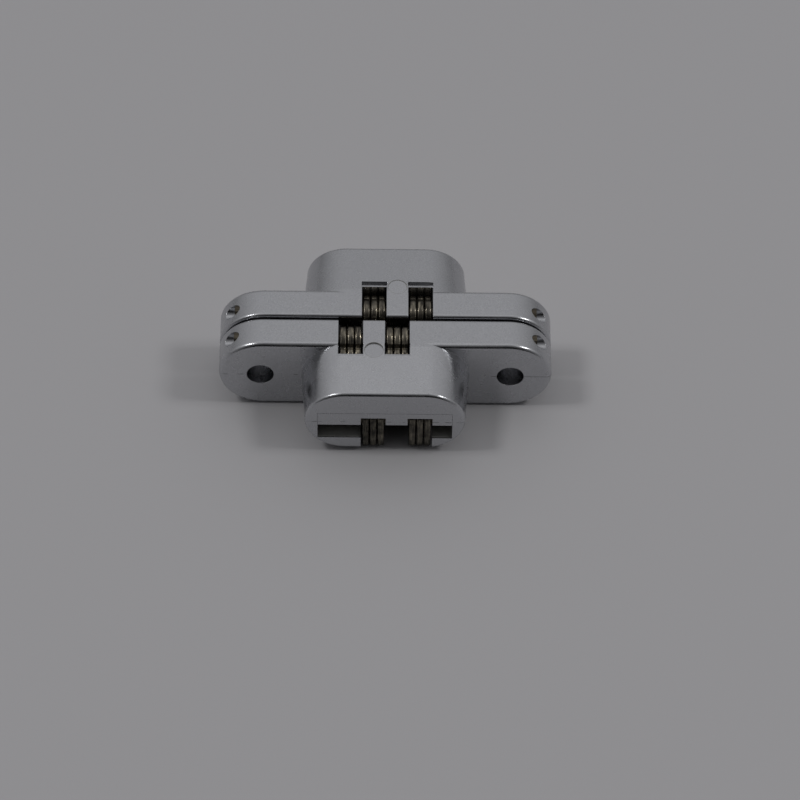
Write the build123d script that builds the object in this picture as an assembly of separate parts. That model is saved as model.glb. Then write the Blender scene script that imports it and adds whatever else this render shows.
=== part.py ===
import os
from math import cos, radians, sin, sqrt

from build123d import *

# Leaf castings, both alike: a round-ended screw flange with a drafted body behind it
flange_length = 43.0
leaf_height = 11.5
flange_thick = 4.65
leaf_gap = 0.4
body_length = 21.7
body_depth = 7.9
body_draft = 4.0
flange_round = 0.6
face_round = 0.45
nose_round = 0.5

# Screw holes in the flange, sunk on the hidden face
screw_spacing = 32.3
screw_hole_dia = 3.5
sink_dia = 5.6
sink_angle = 90.0

# Linkage: eye pivot, crossing point and slider, with the leaf closed
pivot_depth = 2.1
pivot_drop = 1.9
centre_height = 3.5
slider_inset = 2.75
slider_height = 3.88
full_swing = 180.0
eye_turn = 112.5

# Pins
pivot_pin_dia = 1.9
pivot_pin_recess = 0.5
centre_pin_dia = 1.6
slider_pin_dia = 2.4
slider_pin_play = 0.15

# Clearances
seat_clear = 0.01
run_clear = 0.05
track_clear = 0.06
keeper_clear = 0.03
notch_clear = 0.2
tail_clear = 0.1
slot_clear = 0.1

# Stacks of link plates, four side by side that take turns between the two sets
stack_pitch = 3.0
plates_per_stack = 3
plate_thick = 0.88
plate_gap = 0.1

# Link plate outline
eye_radius = 1.85
brow_reach = 1.64
brow_rise = 1.25
brow_round = 0.15
tail_radius = 1.3
tail_drop = 0.7
tail_crease = 0.12
shoulder_radius = 1.65
shoulder_reach = 2.5
shoulder_shift = 0.4
hub_radius = 2.1
arm_width = 3.0
arm_floor = 1.3
heel_top = 2.35
heel_nose = 2.6
heel_back_set = 0.45
heel_back_round = 1.75
heel_tip_round = 0.5
heel_kink = 2.4
toe_floor = 0.45
toe_set = 0.25
toe_round = 0.3
inner_round = 0.6

# Slots, end window and keeper in each casting
slot_depth = 6.15
lip_length = 0.57
lip_drop = 0.5
lip_side = 0.05
lip_reach = 2.05
window_width = 17.3
window_top = 7.37
keeper_depth = 1.9
bridge_nose = 0.25
bridge_edge = 0.05
pin_wall = 0.5

# Ejector mark on the casting's top
mark_dia = 2.45
mark_depth = 5.25
mark_sink = 0.05

# Places that follow from the sizes above, as depth behind the closed mid plane and height
face = leaf_gap / 2
flange_back = face + flange_thick
leaf_end = flange_back + body_depth
slot_back = face + slot_depth
slot_end = slot_back - lip_length
pivot = Vector(face + pivot_depth, leaf_height - pivot_drop)
centre = Vector(0, centre_height)
slider = Vector(leaf_end - slider_inset, slider_height)
arm_turn = full_swing - eye_turn
track_radius = slider_pin_dia / 2 + track_clear
track_top = slider_height + track_radius
over = 1.0


def turned(arm, angle):
    c, s = cos(radians(angle)), sin(radians(angle))
    return Vector(arm.X * c - arm.Y * s, arm.X * s + arm.Y * c)


def slider_at(share):
    # The eye turns the crossing point about the pivot while the arm turns more slowly about it
    cross = pivot + turned(centre - pivot, -eye_turn * share)
    return cross + turned(slider - centre, -arm_turn * share)


def slider_side(share, distance):
    # A point beside the slider's path, square to it
    step = 0.001
    along = (slider_at(share + step) - slider_at(share - step)).normalized()
    return slider_at(share) + turned(along, 90) * distance


def disc(middle, radius):
    # Turned so that the circle's start lies off the outline's tangent points
    return Pos(middle.X, middle.Y) * Rot(0, 0, 250) * Circle(radius)


def hull_of(*discs):
    edges = ShapeList()
    for one in discs:
        edges += one.edges()
    return make_hull(edges)


def across(sketch, x_low, x_high):
    # Extrudes a depth-and-height outline along X
    return extrude(Plane.YZ.offset(x_low) * sketch, amount=x_high - x_low)


def block(x_low, x_high, y_low, y_high, z_low, z_high):
    size = Box(x_high - x_low, y_high - y_low, z_high - z_low)
    return Pos((x_low + x_high) / 2, (y_low + y_high) / 2, (z_low + z_high) / 2) * size


def half_turn(shape):
    return Rot(0, 0, 180) * shape


# Stack zones across the hinge, counted for the leaf on the +Y side
zone_edges = [stack_pitch * (i - 2) for i in range(5)]
slide_zones = [(zone_edges[0], zone_edges[1]), (zone_edges[2], zone_edges[3])]
eye_zones = [(zone_edges[1], zone_edges[2]), (zone_edges[3], zone_edges[4])]


# One link plate: eye with a brow, lower tail that fills the slot, shoulder, crossing hub, arm and heel
own_pivot = Vector(-pivot.X, pivot.Y)
shoulder = own_pivot + Vector(shoulder_shift, -shoulder_reach)
arm_middle = arm_floor + arm_width / 2
arm_root = Vector(hub_radius / 2, arm_middle)
heel_peak = slider.Y + heel_top
heel_end = slider.X + heel_nose
heel_back = disc(Vector(slider.X - heel_back_set, heel_peak - heel_back_round), heel_back_round)
heel_tip = disc(Vector(heel_end - heel_tip_round, heel_peak - heel_tip_round), heel_tip_round)
heel_knee = disc(Vector(heel_end - toe_round, heel_kink), toe_round)
heel_toe = disc(Vector(heel_end - toe_set - toe_round, toe_floor + toe_round), toe_round)
arm_head = disc(Vector(slider.X - arm_width / 2, arm_middle), arm_width / 2)
tail_reach = slot_end - pivot.X - tail_clear - tail_radius
tail = disc(own_pivot - Vector(tail_reach, tail_drop), tail_radius)
brow = disc(own_pivot + Vector(brow_round - brow_reach, brow_rise - brow_round), brow_round)
eye = hull_of(disc(own_pivot, eye_radius), brow)
neck = hull_of(disc(shoulder, shoulder_radius), disc(centre, hub_radius))
arm = hull_of(disc(arm_root, arm_width / 2), arm_head)
heel = hull_of(heel_back, heel_tip, heel_knee, heel_toe, arm_head)
outline = offset(offset(eye + neck + arm + heel, inner_round), -inner_round)
outline = offset(offset(outline + tail, tail_crease), -tail_crease)
outline -= disc(own_pivot, pivot_pin_dia / 2 + run_clear)
outline -= disc(centre, centre_pin_dia / 2 + run_clear)
outline -= disc(slider, slider_pin_dia / 2 + run_clear)
plate_step = plate_thick + plate_gap
stack_width = plates_per_stack * plate_step - plate_gap
stack_play = (stack_pitch - stack_width) / 2
front_plates = []
for low, high in slide_zones:
    for i in range(plates_per_stack):
        x_low = low + stack_play + i * plate_step
        front_plates.append(across(outline, x_low, x_low + plate_thick))


# Leaf casting on the +Y side
def leaf_outline(length, depth):
    plane = Plane(origin=(0, depth, leaf_height / 2), x_dir=(1, 0, 0), z_dir=(0, 1, 0))
    return plane * SlotOverall(length, leaf_height)


flange = extrude(leaf_outline(flange_length, face), amount=flange_thick)
flange = fillet(flange.faces().sort_by(Axis.Y)[0].edges(), face_round)
flange = fillet(flange.faces().sort_by(Axis.Y)[-1].edges(), flange_round)
body_root = extrude(leaf_outline(body_length, flange_back - 2 * flange_round), amount=2 * flange_round)
body = extrude(leaf_outline(body_length, flange_back), amount=body_depth, taper=body_draft)
body = fillet(body.faces().sort_by(Axis.Y)[-1].edges(), nose_round)
leaf = flange + body_root + body

# Bridge over each sliding stack, wrapped round the pivot pin
nose = Pos(face + bridge_edge, leaf_height - bridge_nose + bridge_edge) * Circle(bridge_edge)
boss = disc(pivot, pivot_pin_dia / 2 + pin_wall)
roof = Pos(slot_back, window_top + bridge_edge) * Circle(bridge_edge)
crown = Pos(slot_back, leaf_height + over) * Circle(bridge_edge)
crest = Pos(face + bridge_edge, leaf_height + over) * Circle(bridge_edge)
bridge = hull_of(nose, boss, roof, crown, crest)
rear_roof = Polygon(
    (slot_back - bridge_edge, window_top), (leaf_end + over, window_top),
    (leaf_end + over, leaf_height + over), (slot_back - bridge_edge, leaf_height + over), align=None)
reach = Polygon(
    (-over, -over), (leaf_end + over, -over),
    (leaf_end + over, leaf_height + over), (-over, leaf_height + over), align=None)
mouth = Polygon(
    (-over, leaf_height - bridge_nose), (face + 2 * bridge_edge, leaf_height - bridge_nose),
    (face + 2 * bridge_edge, leaf_height + over), (-over, leaf_height + over), align=None)
slide_room = reach - bridge - rear_roof - mouth
for low, high in slide_zones:
    leaf -= across(slide_room, low - slot_clear, high + slot_clear)

# Slots for this leaf's own link eyes, with a shallow lip round the closed end
lip_floor = leaf_height - lip_drop
lip_start = slot_back - lip_reach
for low, high in eye_zones:
    wall_low, wall_high = low - slot_clear, high + slot_clear
    leaf -= block(wall_low, wall_high, -over, slot_end, -over, leaf_height + over)
    lip_low, lip_high = wall_low - lip_side, wall_high + lip_side
    leaf -= block(lip_low, lip_high, lip_start, slot_back, lip_floor, leaf_height + over)

# Passage under the sliding stacks, open at the bottom and the end
passage_low, passage_high = slide_zones[0][0] - slot_clear, slide_zones[1][1] + slot_clear
leaf -= block(passage_low, passage_high, -over, leaf_end + over, -over, track_top)

# Track that follows the slider pin, run straight out to the end window
shares = [i / 8 for i in range(9)]
lower = Spline([slider_side(s, track_radius) for s in shares])
upper = Spline([slider_side(s, -track_radius) for s in shares])
start = Line(upper @ 0, lower @ 0)
stop = Line(lower @ 1, upper @ 1)
track = make_face([lower, stop, upper, start])
track += disc(slider_at(0), track_radius) + disc(slider_at(1), track_radius)
track += Polygon(
    (slider.X, slider.Y - track_radius), (leaf_end + over, slider.Y - track_radius),
    (leaf_end + over, track_top), (slider.X, track_top), align=None)
leaf -= across(track, -window_width / 2, window_width / 2)

# Seat of the keeper above the track
seat_back = leaf_end - keeper_depth
leaf -= block(-window_width / 2, window_width / 2, seat_back, leaf_end + over, track_top, window_top)

# Pivot pin hole, screw holes and ejector mark
pivot_line = Plane(origin=(0, pivot.X, pivot.Y), x_dir=(0, 1, 0), z_dir=(1, 0, 0))
leaf -= pivot_line * Cylinder(pivot_pin_dia / 2 + seat_clear, flange_length + over)
for side in (-1, 1):
    hole = Plane(origin=(side * screw_spacing / 2, face, leaf_height / 2), x_dir=(1, 0, 0), z_dir=(0, -1, 0))
    leaf -= hole * CounterSinkHole(screw_hole_dia / 2, sink_dia / 2, 2 * flange_thick, sink_angle)
mark_floor = leaf_height - mark_sink - (mark_depth + mark_dia / 2 - flange_thick) * sin(radians(body_draft))
mark_x = (eye_zones[0][0] + eye_zones[0][1]) / 2 + stack_pitch
mark_at = Plane(origin=(mark_x, face + mark_depth, mark_floor))
leaf -= mark_at * Cylinder(mark_dia / 2, over, align=(Align.CENTER, Align.CENTER, Align.MIN))

# Keeper: a comb set flush in the end window
half_keeper = window_width / 2 - keeper_clear
keeper = block(-half_keeper, half_keeper, seat_back, leaf_end, track_top, window_top - keeper_clear)
notch_top = heel_peak + notch_clear
for low, high in slide_zones:
    notch_low, notch_high = low - slot_clear, high + slot_clear
    keeper -= block(notch_low, notch_high, seat_back - over, leaf_end + over, track_top - over, notch_top)

# Pins
rise = leaf_height / 2 - pivot_drop
end_x = flange_length / 2 - leaf_height / 2 + sqrt((leaf_height / 2) ** 2 - rise ** 2)
pivot_pin = pivot_line * Cylinder(pivot_pin_dia / 2, 2 * (end_x - pivot_pin_recess))
centre_line = Plane(origin=(0, centre.X, centre.Y), x_dir=(0, 1, 0), z_dir=(1, 0, 0))
centre_pin = centre_line * Cylinder(centre_pin_dia / 2, 2 * (zone_edges[4] - stack_play))
slider_line = Plane(origin=(0, slider.X, slider.Y), x_dir=(0, 1, 0), z_dir=(1, 0, 0))
slider_pin = slider_line * Cylinder(slider_pin_dia / 2, window_width - 2 * slider_pin_play)

pieces = {
    "rear_leaf": leaf,
    "front_leaf": half_turn(leaf),
    "rear_keeper": keeper,
    "front_keeper": half_turn(keeper),
    "rear_pivot_pin": pivot_pin,
    "front_pivot_pin": half_turn(pivot_pin),
    "centre_pin": centre_pin,
    "rear_slider_pin": slider_pin,
    "front_slider_pin": half_turn(slider_pin),
}
for i, plate in enumerate(front_plates, start=1):
    pieces[f"front_link_{i}"] = plate
    pieces[f"rear_link_{i}"] = half_turn(plate)

os.makedirs("parts", exist_ok=True)
for name, shape in pieces.items():
    export_step(shape, f"parts/{name}.step")
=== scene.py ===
import bmesh
import bpy
import math
import numpy as np
from mathutils import Matrix, Vector


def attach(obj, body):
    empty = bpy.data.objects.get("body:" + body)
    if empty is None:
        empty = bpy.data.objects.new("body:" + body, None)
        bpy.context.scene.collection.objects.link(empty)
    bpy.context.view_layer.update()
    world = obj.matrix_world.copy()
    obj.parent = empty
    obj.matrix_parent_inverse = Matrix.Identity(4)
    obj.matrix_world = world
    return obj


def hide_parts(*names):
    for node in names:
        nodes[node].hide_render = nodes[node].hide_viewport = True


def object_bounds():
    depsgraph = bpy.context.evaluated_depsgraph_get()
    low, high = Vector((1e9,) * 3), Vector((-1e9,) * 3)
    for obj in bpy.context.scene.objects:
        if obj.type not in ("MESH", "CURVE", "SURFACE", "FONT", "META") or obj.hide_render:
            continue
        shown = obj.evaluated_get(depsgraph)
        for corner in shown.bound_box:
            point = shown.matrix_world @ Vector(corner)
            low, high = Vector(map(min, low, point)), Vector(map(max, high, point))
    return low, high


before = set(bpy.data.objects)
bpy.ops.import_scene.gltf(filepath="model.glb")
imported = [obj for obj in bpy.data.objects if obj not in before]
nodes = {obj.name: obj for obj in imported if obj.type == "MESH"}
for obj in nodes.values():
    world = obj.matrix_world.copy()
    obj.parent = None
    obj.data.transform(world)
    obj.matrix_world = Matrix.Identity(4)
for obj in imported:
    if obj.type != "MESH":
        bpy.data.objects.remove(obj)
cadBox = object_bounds()
mm = 0.001
print("frame loaded:", len(nodes), "nodes")

noiseSpan = (0.3, 0.7)      # the part of its 0 to 1 range that a noise mostly fills
colourA, colourB, colourOut = 6, 7, 2       # sockets of a mix of colours: the two colours and the result
numberA, numberB, numberOut = 2, 3, 0       # sockets of a mix of numbers


# sRGB hex to linear: the low end is a straight line, the rest a 2.4 power curve
def toLinear(hexColour):
    part = np.array([int(hexColour[i:i + 2], 16) for i in (1, 3, 5)]) / 255
    curve = np.where(part <= 0.04045, part / 12.92, ((part + 0.055) / 1.055) ** 2.4)
    return (*curve.tolist(), 1.0)


# adds one node, sets its sockets and settings, and links what comes in as a socket
def addNode(tree, kind, inputs=None, **settings):
    node = tree.nodes.new(kind)
    for key, value in settings.items():
        setattr(node, key, value)
    for key, value in (inputs or {}).items():
        if isinstance(value, bpy.types.NodeSocket):
            tree.links.new(value, node.inputs[key])
        else:
            node.inputs[key].default_value = value
    return node


def mixColours(tree, share, first, second):
    mix = addNode(tree, "ShaderNodeMix", {"Factor": share, colourA: first, colourB: second}, data_type="RGBA")
    return mix.outputs[colourOut]


def newMaterial(name):
    material = bpy.data.materials.new(name)
    material.use_nodes = True
    tree = material.node_tree
    shader = tree.nodes["Principled BSDF"]
    coords = addNode(tree, "ShaderNodeTexCoord").outputs["Object"]
    return material, tree, shader, coords


# Materials

satinZinc = {
    "dark": "#B2B3B6",
    "light": "#C4C5C8",
    "grain": 0.13 * mm,         # blasted grain under the plating, a little coarser than real so it shows
    "grainHeight": 0.005 * mm,
    "wave": 2.6 * mm,           # slow swell of the die casting
    "waveHeight": 0.004 * mm,
    "roughness": (0.22, 0.31),
    "edgeRound": 0.045 * mm,    # plating softens the sharp edges of the slots and the window
    "edgeSamples": 8,
    "seamColour": "#4A4A4A",
    "seamHalf": 0.05 * mm,      # half the width of the die's seam, which fades over the outer half of that
    "seamDash": 1.1 * mm,       # it shows only as short dashes, where its noise is above these limits
    "seamCut": (0.56, 0.64),
    "seamEnds": 18.6 * mm,      # most of them beyond this distance from the middle, on the round ends
    "seamFade": 1.0 * mm,
    "seamRaise": 0.09,          # added to the noise there
    "pitColour": "#5C5C5E",
    "pitSpacing": 1.9 * mm,     # a few pinholes of the casting
    "pitSize": 0.055 * mm,
    "pitCore": 0.4,             # share of a pinhole that is fully dark
    "castColour": "#979794",    # thinly plated, rough skin in the slider's track and round the ejector mark
    "castRoughness": 0.75,
    "castMetal": 0.1,
    "trackHeight": 3.88 * mm,   # middle of the track, its half height and half width
    "trackHalf": 1.29 * mm,
    "trackReach": 8.68 * mm,
    "trackMiddle": 9.5 * mm,    # middle of its depth from the mid plane, and half of that depth
    "trackDeep": 3.1 * mm,
    "passageMiddle": 1.5 * mm,  # how far the links' passage is off centre, and its half width
    "passageHalf": 4.5 * mm,
    "markPlace": (3.0 * mm, 5.45 * mm, 0.0),    # ejector mark, from the passage's middle and the mid plane
    "markRadius": 1.225 * mm,
    "markRim": 0.04 * mm,       # half the width of the skin round it, which lies above this height
    "markAbove": 10.8 * mm,
}


# the seam is a thin band at one height, broken up by a noise that is raised towards the round ends
def seamShare(tree, coords, placed, apart, seamHeight):
    look = satinZinc
    offSeam = addNode(tree, "ShaderNodeMath", {0: placed.outputs["Z"], 1: seamHeight}, operation="SUBTRACT")
    farOff = addNode(tree, "ShaderNodeMath", {0: offSeam.outputs[0]}, operation="ABSOLUTE")
    band = addNode(tree, "ShaderNodeMapRange", {
        "Value": farOff.outputs[0], "From Min": look["seamHalf"], "From Max": look["seamHalf"] / 2})
    dashes = addNode(tree, "ShaderNodeTexNoise", {
        "Vector": coords, "Scale": 1 / look["seamDash"], "Detail": 1.0})
    atEnds = addNode(tree, "ShaderNodeMapRange", {
        "Value": apart.outputs["X"], "From Min": look["seamEnds"] - look["seamFade"],
        "From Max": look["seamEnds"], "To Max": look["seamRaise"]})
    raised = addNode(tree, "ShaderNodeMath", {0: dashes.outputs["Fac"], 1: atEnds.outputs["Result"]})
    broken = addNode(tree, "ShaderNodeMapRange", {
        "Value": raised.outputs[0], "From Min": look["seamCut"][0], "From Max": look["seamCut"][1]})
    seam = addNode(tree, "ShaderNodeMath", {
        0: band.outputs["Result"], 1: broken.outputs["Result"]}, operation="MULTIPLY")
    return seam.outputs[0]


# pinholes are the middles of scattered cells
def pitShare(tree, coords):
    look = satinZinc
    cells = addNode(tree, "ShaderNodeTexVoronoi", {"Vector": coords, "Scale": 1 / look["pitSpacing"]})
    size = look["pitSize"] / look["pitSpacing"]
    pit = addNode(tree, "ShaderNodeMapRange", {
        "Value": cells.outputs["Distance"], "From Min": size, "From Max": look["pitCore"] * size})
    return pit.outputs["Result"]


# the bare skin is what lies inside the track's box but beside the passage, which is off centre to
# opposite sides in the two leaves; round the ejector mark it is a ring, where the distance from the
# mark's middle is close to its radius
def bareShare(tree, placed, apart):
    look = satinZinc
    leafSign = addNode(tree, "ShaderNodeMath", {0: placed.outputs["Y"]}, operation="SIGN")
    across = addNode(tree, "ShaderNodeMath", {
        0: placed.outputs["X"], 1: leafSign.outputs[0], 2: look["passageMiddle"]}, operation="MULTIPLY_ADD")
    offPassage = addNode(tree, "ShaderNodeMath", {0: across.outputs[0]}, operation="ABSOLUTE")
    beside = addNode(tree, "ShaderNodeMath", {
        0: offPassage.outputs[0], 1: look["passageHalf"]}, operation="GREATER_THAN")
    inWidth = addNode(tree, "ShaderNodeMath", {
        0: apart.outputs["X"], 1: look["trackReach"]}, operation="LESS_THAN")
    inDepth = addNode(tree, "ShaderNodeMath", {
        0: apart.outputs["Y"], 1: look["trackMiddle"], 2: look["trackDeep"]}, operation="COMPARE")
    inHeight = addNode(tree, "ShaderNodeMath", {
        0: placed.outputs["Z"], 1: look["trackHeight"], 2: look["trackHalf"]}, operation="COMPARE")
    inPlan = addNode(tree, "ShaderNodeMath", {
        0: inWidth.outputs[0], 1: inDepth.outputs[0]}, operation="MULTIPLY")
    inPocket = addNode(tree, "ShaderNodeMath", {
        0: inPlan.outputs[0], 1: beside.outputs[0]}, operation="MULTIPLY")
    spot = addNode(tree, "ShaderNodeCombineXYZ", {"X": across.outputs[0], "Y": apart.outputs["Y"]})
    fromMark = addNode(tree, "ShaderNodeVectorMath", {
        0: spot.outputs["Vector"], 1: look["markPlace"]}, operation="DISTANCE")
    ring = addNode(tree, "ShaderNodeMath", {
        0: fromMark.outputs["Value"], 1: look["markRadius"], 2: look["markRim"]}, operation="COMPARE")
    onTop = addNode(tree, "ShaderNodeMath", {
        0: placed.outputs["Z"], 1: look["markAbove"]}, operation="GREATER_THAN")
    rim = addNode(tree, "ShaderNodeMath", {0: ring.outputs[0], 1: onTop.outputs[0]}, operation="MULTIPLY")
    bare = addNode(tree, "ShaderNodeMath", {
        0: inPocket.outputs[0], 1: inHeight.outputs[0], 2: rim.outputs[0]}, operation="MULTIPLY_ADD")
    return bare.outputs[0]


def makeSatinZinc(seamHeight):
    # satin-chromed zinc die casting: a bright grey metal with a fine even grain that spreads every
    # reflection, over a slow swell left by the die, with its seam, a few pinholes and dull skin in the track
    look = satinZinc
    material, tree, shader, coords = newMaterial("satinChromedZinc")
    placed = addNode(tree, "ShaderNodeSeparateXYZ", {"Vector": coords})
    mirrored = addNode(tree, "ShaderNodeVectorMath", {0: coords}, operation="ABSOLUTE")
    apart = addNode(tree, "ShaderNodeSeparateXYZ", {"Vector": mirrored.outputs["Vector"]})
    grain = addNode(tree, "ShaderNodeTexNoise", {"Vector": coords, "Scale": 1 / look["grain"], "Detail": 2.0})
    swell = addNode(tree, "ShaderNodeTexNoise", {"Vector": coords, "Scale": 1 / look["wave"], "Detail": 3.0})
    tone = addNode(tree, "ShaderNodeMapRange", {
        "Value": grain.outputs["Fac"], "From Min": noiseSpan[0], "From Max": noiseSpan[1]})
    bare = bareShare(tree, placed, apart)

    plated = mixColours(tree, tone.outputs["Result"], toLinear(look["dark"]), toLinear(look["light"]))
    seam = seamShare(tree, coords, placed, apart, seamHeight)
    seamed = mixColours(tree, seam, plated, toLinear(look["seamColour"]))
    pitted = mixColours(tree, pitShare(tree, coords), seamed, toLinear(look["pitColour"]))
    skinned = mixColours(tree, bare, pitted, toLinear(look["castColour"]))
    metal = addNode(tree, "ShaderNodeMapRange", {"Value": bare, "To Min": 1.0, "To Max": look["castMetal"]})
    polish = addNode(tree, "ShaderNodeMapRange", {
        "Value": swell.outputs["Fac"], "From Min": noiseSpan[0], "From Max": noiseSpan[1],
        "To Min": look["roughness"][0], "To Max": look["roughness"][1]})
    rough = addNode(tree, "ShaderNodeMix", {
        "Factor": bare, numberA: polish.outputs["Result"], numberB: look["castRoughness"]}, data_type="FLOAT")

    softEdge = addNode(tree, "ShaderNodeBevel", {"Radius": look["edgeRound"]}, samples=look["edgeSamples"])
    swellBump = addNode(tree, "ShaderNodeBump", {
        "Height": swell.outputs["Fac"], "Distance": look["waveHeight"], "Strength": 1.0,
        "Normal": softEdge.outputs["Normal"]})
    grainBump = addNode(tree, "ShaderNodeBump", {
        "Height": grain.outputs["Fac"], "Distance": look["grainHeight"], "Strength": 1.0,
        "Normal": swellBump.outputs["Normal"]})
    tree.links.new(skinned, shader.inputs["Base Color"])
    tree.links.new(metal.outputs["Result"], shader.inputs["Metallic"])
    tree.links.new(rough.outputs[numberOut], shader.inputs["Roughness"])
    tree.links.new(grainBump.outputs["Normal"], shader.inputs["Normal"])
    return material


linkSteel = {
    "dark": "#363431",
    "light": "#868074",
    "stain": 1.3 * mm,          # patches of the browned skin
    "worn": "#B3AA96",          # rubbed metal on the streaks, where their noise is between these limits
    "rubbed": (0.5, 0.72),
    "streak": 0.11 * mm,        # rolling streaks across the plate's thickness, coarser than real so they show
    "streakLength": 1.8 * mm,
    "streakHeight": 0.006 * mm,
    "roughness": (0.20, 0.40),
    "oilAndDarkReflection": "#2B2A28",           # old oil on the heels, together with a painted dark reflection of the things in front of them
    "heelDarkStart": 8.0 * mm,       # distance from the mid plane at which it begins, and where it is thickest
    "heelDarkEnd": 12.0 * mm,
    "heelDarkShare": 0.75,
    "heelDarkGather": (0.35, 0.6),   # stain noise at which the oil and painted dark reflection are whole, and at which only this share is left
    "heelDarkThin": 0.45,
}


def makeLinkSteel():
    # punched spring steel with an oil-browned skin: dark and warm beside the casting, with long
    # streaks round the plate's edge, some rubbed to a brassy shine, and heels darkened by old oil and a
    # painted dark reflection
    look = linkSteel
    material, tree, shader, coords = newMaterial("punchedOiledSteel")
    stretched = addNode(tree, "ShaderNodeMapping", {
        "Vector": coords, "Scale": (1 / look["streak"], 1 / look["streakLength"], 1 / look["streakLength"])})
    streaks = addNode(tree, "ShaderNodeTexNoise", {
        "Vector": stretched.outputs["Vector"], "Scale": 1.0, "Detail": 3.0})
    stain = addNode(tree, "ShaderNodeTexNoise", {"Vector": coords, "Scale": 1 / look["stain"], "Detail": 3.0})
    tone = addNode(tree, "ShaderNodeMapRange", {
        "Value": stain.outputs["Fac"], "From Min": noiseSpan[0], "From Max": noiseSpan[1]})
    rub = addNode(tree, "ShaderNodeMapRange", {
        "Value": streaks.outputs["Fac"], "From Min": look["rubbed"][0], "From Max": look["rubbed"][1]})
    browned = mixColours(tree, tone.outputs["Result"], toLinear(look["dark"]), toLinear(look["light"]))
    worn = mixColours(tree, rub.outputs["Result"], browned, toLinear(look["worn"]))

    # the painted dark reflection and the oil on the heels thicken with the distance from the mid plane and
    # gather where the stain is dark
    mirrored = addNode(tree, "ShaderNodeVectorMath", {0: coords}, operation="ABSOLUTE")
    apart = addNode(tree, "ShaderNodeSeparateXYZ", {"Vector": mirrored.outputs["Vector"]})
    heelDarkRamp = addNode(tree, "ShaderNodeMapRange", {
        "Value": apart.outputs["Y"], "From Min": look["heelDarkStart"], "From Max": look["heelDarkEnd"],
        "To Max": look["heelDarkShare"]})
    heelDarkPatches = addNode(tree, "ShaderNodeMapRange", {
        "Value": stain.outputs["Fac"], "From Min": look["heelDarkGather"][0], "From Max": look["heelDarkGather"][1],
        "To Min": 1.0, "To Max": look["heelDarkThin"]})
    oilAndDarkReflection = addNode(tree, "ShaderNodeMath", {
        0: heelDarkRamp.outputs["Result"], 1: heelDarkPatches.outputs["Result"]}, operation="MULTIPLY")
    # painted dark reflection and old oil darken the heels
    heelsDarkened = mixColours(tree, oilAndDarkReflection.outputs[0], worn, toLinear(look["oilAndDarkReflection"]))
    rough = addNode(tree, "ShaderNodeMapRange", {
        "Value": streaks.outputs["Fac"], "From Min": noiseSpan[0], "From Max": noiseSpan[1],
        "To Min": look["roughness"][1], "To Max": look["roughness"][0]})
    bump = addNode(tree, "ShaderNodeBump", {
        "Height": streaks.outputs["Fac"], "Distance": look["streakHeight"], "Strength": 1.0})
    tree.links.new(heelsDarkened, shader.inputs["Base Color"])
    tree.links.new(rough.outputs["Result"], shader.inputs["Roughness"])
    tree.links.new(bump.outputs["Normal"], shader.inputs["Normal"])
    shader.inputs["Metallic"].default_value = 1.0
    return material


pinSteel = {
    "dark": "#3A3630",
    "light": "#6E675A",
    "draw": 0.10 * mm,          # drawing lines along the wire
    "drawLength": 4.0 * mm,
    "drawHeight": 0.008 * mm,
    "roughness": (0.34, 0.52),
}


def makePinSteel():
    # drawn steel wire cut to length: a dark warm grey, with faint lines along it and mottled ends
    look = pinSteel
    material, tree, shader, coords = newMaterial("drawnSteelWire")
    stretched = addNode(tree, "ShaderNodeMapping", {
        "Vector": coords, "Scale": (1 / look["drawLength"], 1 / look["draw"], 1 / look["draw"])})
    lines = addNode(tree, "ShaderNodeTexNoise", {
        "Vector": stretched.outputs["Vector"], "Scale": 1.0, "Detail": 2.0})
    tone = addNode(tree, "ShaderNodeMapRange", {
        "Value": lines.outputs["Fac"], "From Min": noiseSpan[0], "From Max": noiseSpan[1]})
    colour = mixColours(tree, tone.outputs["Result"], toLinear(look["dark"]), toLinear(look["light"]))
    rough = addNode(tree, "ShaderNodeMapRange", {
        "Value": lines.outputs["Fac"], "From Min": noiseSpan[0], "From Max": noiseSpan[1],
        "To Min": look["roughness"][0], "To Max": look["roughness"][1]})
    bump = addNode(tree, "ShaderNodeBump", {
        "Height": lines.outputs["Fac"], "Distance": look["drawHeight"], "Strength": 1.0})
    tree.links.new(colour, shader.inputs["Base Color"])
    tree.links.new(rough.outputs["Result"], shader.inputs["Roughness"])
    tree.links.new(bump.outputs["Normal"], shader.inputs["Normal"])
    shader.inputs["Metallic"].default_value = 1.0
    return material


castZinc = makeSatinZinc((cadBox[0].z + cadBox[1].z) / 2)
finishes = {"leaf": castZinc, "keeper": castZinc, "link": makeLinkSteel(), "pin": makePinSteel()}


def dress(node, material):
    node.data.materials.clear()
    node.data.materials.append(material)


for name, node in nodes.items():
    kind = next(word for word in finishes if word in name)
    dress(node, finishes[kind])
print("materials made for:", ", ".join(finishes))


# Link plates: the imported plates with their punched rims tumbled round

platePlan = {
    "rimRound": 0.24 * mm,
    "segments": 4,
    "rimAngle": 60.0,           # edges sharper than this are rounded
    "flatAngle": 0.5,           # faces that meet at less than this become one
    "shortest": 0.03 * mm,      # points of the outline closer than this become one
    "holes": (-2.3 * mm, 0.0, 10.0 * mm),   # a front plate's eye, crossing and slider hole along Y
}


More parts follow.
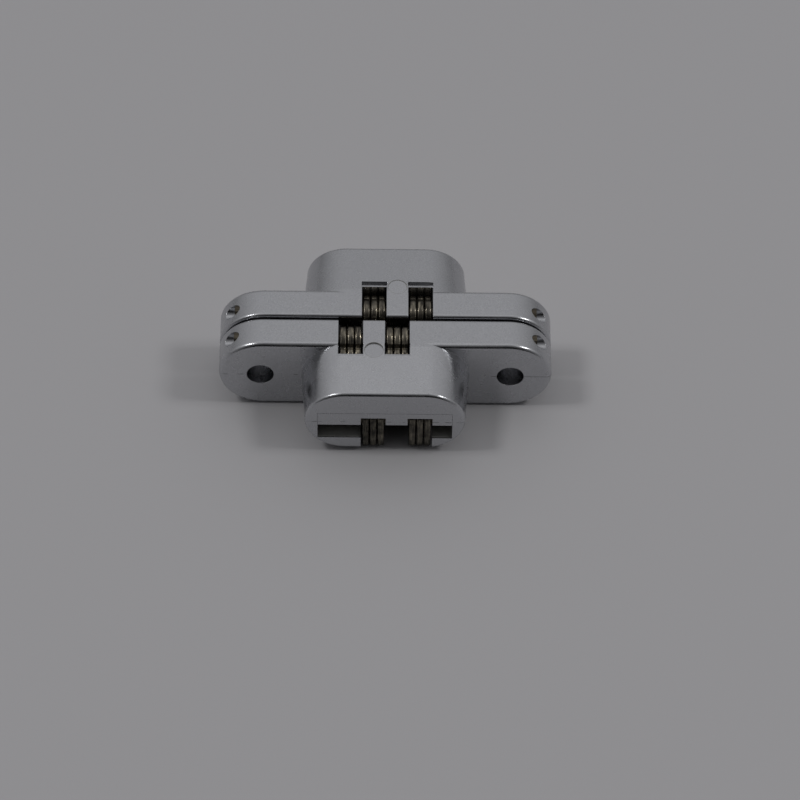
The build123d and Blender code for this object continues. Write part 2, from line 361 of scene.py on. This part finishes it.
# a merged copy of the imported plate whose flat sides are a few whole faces, parted only by a cut through each
# hole so that they fill cleanly, with an arc carried round its rims
def makePlate(name):
    plan = platePlan
    body = name.split("_")[0] + "_link_set"
    side = 1 if name.startswith("front") else -1
    mesh = nodes[name].data.copy()
    mesh.name = name + "_tumbled"
    if "custom_normal" in mesh.attributes:
        mesh.attributes.remove(mesh.attributes["custom_normal"])
    plate = bmesh.new()
    plate.from_mesh(mesh)
    bmesh.ops.remove_doubles(plate, verts=plate.verts, dist=plan["shortest"])
    for hole in plan["holes"]:
        cut = bmesh.ops.bisect_plane(
            plate, geom=[*plate.verts, *plate.edges, *plate.faces], dist=plan["shortest"],
            plane_co=(0, side * hole, 0), plane_no=(0, 1, 0))
        for part in cut["geom_cut"]:
            if isinstance(part, bmesh.types.BMEdge):
                part.seam = True
    bmesh.ops.dissolve_limit(
        plate, angle_limit=math.radians(plan["flatAngle"]), verts=plate.verts, edges=plate.edges,
        delimit={"SEAM"})
    plate.to_mesh(mesh)
    plate.free()
    mesh.shade_smooth()
    piece = bpy.data.objects.new(mesh.name, mesh)
    bpy.context.scene.collection.objects.link(piece)
    rim = piece.modifiers.new("rim", "BEVEL")
    rim.width = plan["rimRound"]
    rim.segments = plan["segments"]
    rim.limit_method = "ANGLE"
    rim.angle_limit = math.radians(plan["rimAngle"])
    rim.harden_normals = True
    rim.use_clamp_overlap = False
    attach(piece, body)
    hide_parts(name)
    dress(piece, finishes["link"])


plates = [name for name in nodes if "_link_" in name]
for name in plates:
    makePlate(name)
print("link plates rounded:", len(plates))


# Stage

stagePlan = {
    "floorSize": 1.6,
    "floorColour": "#B8B7B9",
    "floorFleck": 30.0 * mm,
    "floorRoughness": (0.55, 0.70),
    "softboxes": {              # place, size and brightness of each panel, all turned to the hinge
        "overheadSoftbox": ((0.0, 0.25, 0.95), 0.60, 0.10),     # dimmer than the wall that it hides
        "leftSoftbox": ((-0.50, -0.02, 0.80), 0.17, 12.0),
        "rightSoftbox": ((0.62, -0.02, 0.72), 0.17, 12.0),
    },
    "wallColour": "#B9B9BB",    # pale wall behind the table
    "roomColour": "#0A0A0B",    # dark room behind the camera
    "wallStart": -0.75,         # the wall fades in between these two turns of the look direction
    "wallEnd": 0.50,
    "sideLift": 0.6,            # and sooner to the left and right
    "lowShare": 0.4,            # what is left of the wall at the table's height, and how high it is whole
    "wallTop": 0.80,
}


def makeFloor():
    # matte board: a plain pale grey that takes soft shadows
    plan = stagePlan
    half = plan["floorSize"] / 2
    mesh = bpy.data.meshes.new("floor")
    corner = np.array([(-half, -half), (half, -half), (half, half), (-half, half)])
    place = np.column_stack((corner, np.full(len(corner), cadBox[0].z)))
    mesh.from_pydata(place.tolist(), [], [range(len(corner))])
    floor = bpy.data.objects.new("floor", mesh)
    bpy.context.scene.collection.objects.link(floor)
    material, tree, shader, coords = newMaterial("matteBoard")
    fleck = addNode(tree, "ShaderNodeTexNoise", {
        "Vector": coords, "Scale": 1 / plan["floorFleck"], "Detail": 3.0})
    rough = addNode(tree, "ShaderNodeMapRange", {
        "Value": fleck.outputs["Fac"],
        "To Min": plan["floorRoughness"][0], "To Max": plan["floorRoughness"][1]})
    tree.links.new(rough.outputs["Result"], shader.inputs["Roughness"])
    shader.inputs["Base Color"].default_value = toLinear(plan["floorColour"])
    dress(floor, material)


# a square lamp's watts are four times its area times the brightness of its face
def makeLight(name, place, size, brightness):
    lamp = bpy.data.lights.new(name, "AREA")
    lamp.size = size
    lamp.energy = 4 * size * size * brightness
    light = bpy.data.objects.new(name, lamp)
    light.location = place
    light.rotation_euler = (-Vector(place)).to_track_quat("-Z", "Y").to_euler()
    bpy.context.scene.collection.objects.link(light)


# the surroundings go from the dark room in front to the pale wall behind along the look direction's Y,
# moved back by a share of X squared, and the wall fades towards the table along Z
def makeWorld():
    plan = stagePlan
    world = bpy.data.worlds.new("studio")
    world.use_nodes = True
    tree = world.node_tree
    direction = addNode(tree, "ShaderNodeTexCoord").outputs["Generated"]
    turn = addNode(tree, "ShaderNodeSeparateXYZ", {"Vector": direction})
    square = addNode(tree, "ShaderNodeMath", {
        0: turn.outputs["X"], 1: turn.outputs["X"]}, operation="MULTIPLY")
    moved = addNode(tree, "ShaderNodeMath", {
        0: square.outputs[0], 1: plan["sideLift"], 2: turn.outputs["Y"]}, operation="MULTIPLY_ADD")
    behind = addNode(tree, "ShaderNodeMapRange", {
        "Value": moved.outputs[0], "From Min": plan["wallStart"], "From Max": plan["wallEnd"]})
    above = addNode(tree, "ShaderNodeMapRange", {
        "Value": turn.outputs["Z"], "From Max": plan["wallTop"], "To Min": plan["lowShare"]})
    share = addNode(tree, "ShaderNodeMath", {
        0: behind.outputs["Result"], 1: above.outputs["Result"]}, operation="MULTIPLY")
    colour = mixColours(tree, share.outputs[0], toLinear(plan["roomColour"]), toLinear(plan["wallColour"]))
    tree.links.new(colour, tree.nodes["Background"].inputs["Color"])
    bpy.context.scene.world = world


makeFloor()
for name, (place, size, brightness) in stagePlan["softboxes"].items():
    makeLight(name, place, size, brightness)
makeWorld()
bpy.context.scene.view_settings.view_transform = "Standard"


# Camera: it looks down on the front leaf from a little left, with a slight lean

cameraPlan = {
    "azimuth": -0.671,          # degrees, from the front
    "elevation": 49.541,
    "lean": -1.067,
    "distance": 600.0 * mm,
    "sideways": 2.027 * mm,     # shift of the camera across its view
    "upward": -3.105 * mm,
    "focalPixels": 4584.9,      # focal length in pixels of a frame this wide
    "framePixels": 800,
    "sensor": 36.0,
    "nearest": 10.0 * mm,
}


def makeCamera():
    plan = cameraPlan
    azimuth, elevation, lean = (math.radians(plan[key]) for key in ("azimuth", "elevation", "lean"))
    back = Vector((
        math.sin(azimuth) * math.cos(elevation), -math.cos(azimuth) * math.cos(elevation),
        math.sin(elevation)))
    right = Vector((math.cos(azimuth), math.sin(azimuth), 0))
    up = back.cross(right)
    axisX = right * math.cos(lean) - up * math.sin(lean)
    axisY = right * math.sin(lean) + up * math.cos(lean)
    lens = bpy.data.cameras.new("camera")
    lens.sensor_width = plan["sensor"]
    lens.lens = plan["sensor"] * plan["focalPixels"] / plan["framePixels"]
    lens.clip_start = plan["nearest"]
    camera = bpy.data.objects.new("camera", lens)
    camera.matrix_world = Matrix((axisX, axisY, back)).transposed().to_4x4()
    camera.location = back * plan["distance"] + right * plan["sideways"] + up * plan["upward"]
    bpy.context.scene.collection.objects.link(camera)
    bpy.context.scene.camera = camera


makeCamera()
print("stage and camera set")
